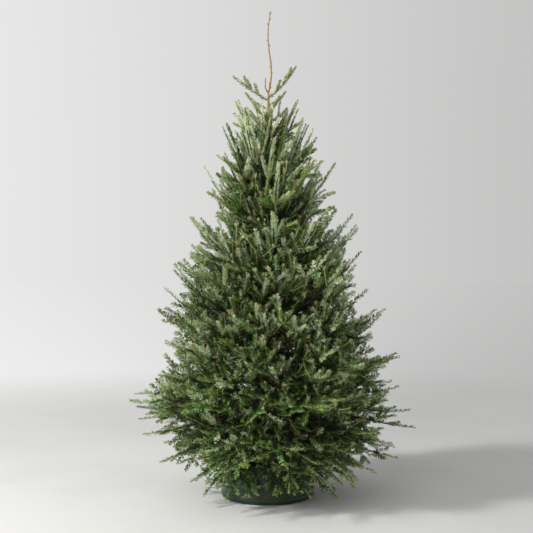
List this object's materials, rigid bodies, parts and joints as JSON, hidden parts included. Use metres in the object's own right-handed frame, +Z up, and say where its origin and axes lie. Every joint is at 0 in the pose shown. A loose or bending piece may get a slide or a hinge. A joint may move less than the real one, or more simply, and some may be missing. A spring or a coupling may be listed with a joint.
{
  "type": "cut fir christmas tree in a stand",
  "caption": "Undecorated cut fir tree with layered boughs of foliage and a long bare leader, held upright in a round moulded stand with a water bowl.",
  "frame": {"origin": "middle of the stand's flat underside, on the floor", "axes": "+Z up along the trunk, -Y towards the front, +X to the right seen from the front"},
  "size_m": [1.3481, 1.3125, 2.29],
  "materials": {
    "trunk_bark": "smooth grey-brown bark with resin blisters, paler and tan up the leader",
    "bough_bark": "smooth brown bark",
    "needles": "soft flat needles, dark green above and silvery green below",
    "young_needles": "short yellow-green needles of the newest shoots",
    "stand_plastic": "satin dark green moulded plastic with a thin copper line round the foot",
    "screw_steel": "zinc plated steel"
  },
  "bodies": {
    "root": {"bough_1_1": "bough_bark", "bough_1_2": "bough_bark", "bough_1_3": "bough_bark", "bough_1_4": "bough_bark", "bough_1_5": "bough_bark", "bough_2_1": "bough_bark", "bough_2_2": "bough_bark", "bough_2_3": "bough_bark", "bough_2_4": "bough_bark", "bough_2_5": "bough_bark", "bough_3_1": "bough_bark", "bough_3_2": "bough_bark", "bough_3_3": "bough_bark", "bough_3_4": "bough_bark", "bough_3_5": "bough_bark", "clamp_screw_1": "screw_steel", "clamp_screw_2": "screw_steel", "clamp_screw_3": "screw_steel", "clamp_screw_4": "screw_steel", "foliage_10_1": "needles", "foliage_10_2": "needles", "foliage_11_1": "needles", "foliage_1_1": "needles", "foliage_1_2": "needles", "foliage_1_3": "needles", "foliage_1_4": "needles", "foliage_1_5": "needles", "foliage_2_1": "needles", "foliage_2_2": "needles", "foliage_2_3": "needles", "foliage_2_4": "needles", "foliage_2_5": "needles", "foliage_3_1": "needles", "foliage_3_2": "needles", "foliage_3_3": "needles", "foliage_3_4": "needles", "foliage_3_5": "needles", "foliage_4_1": "needles", "foliage_4_2": "needles", "foliage_4_3": "needles", "foliage_4_4": "needles", "foliage_5_1": "needles", "foliage_5_2": "needles", "foliage_5_3": "needles", "foliage_5_4": "needles", "foliage_6_1": "needles", "foliage_6_2": "needles", "foliage_6_3": "needles", "foliage_7_1": "needles", "foliage_7_2": "needles", "foliage_7_3": "needles", "foliage_8_1": "needles", "foliage_8_2": "needles", "foliage_8_3": "needles", "foliage_9_1": "needles", "foliage_9_2": "needles", "stand_shell": "stand_plastic", "top_shoot_left": "young_needles", "top_shoot_right": "young_needles", "trunk": "trunk_bark"}
  },
  "joints": []
}
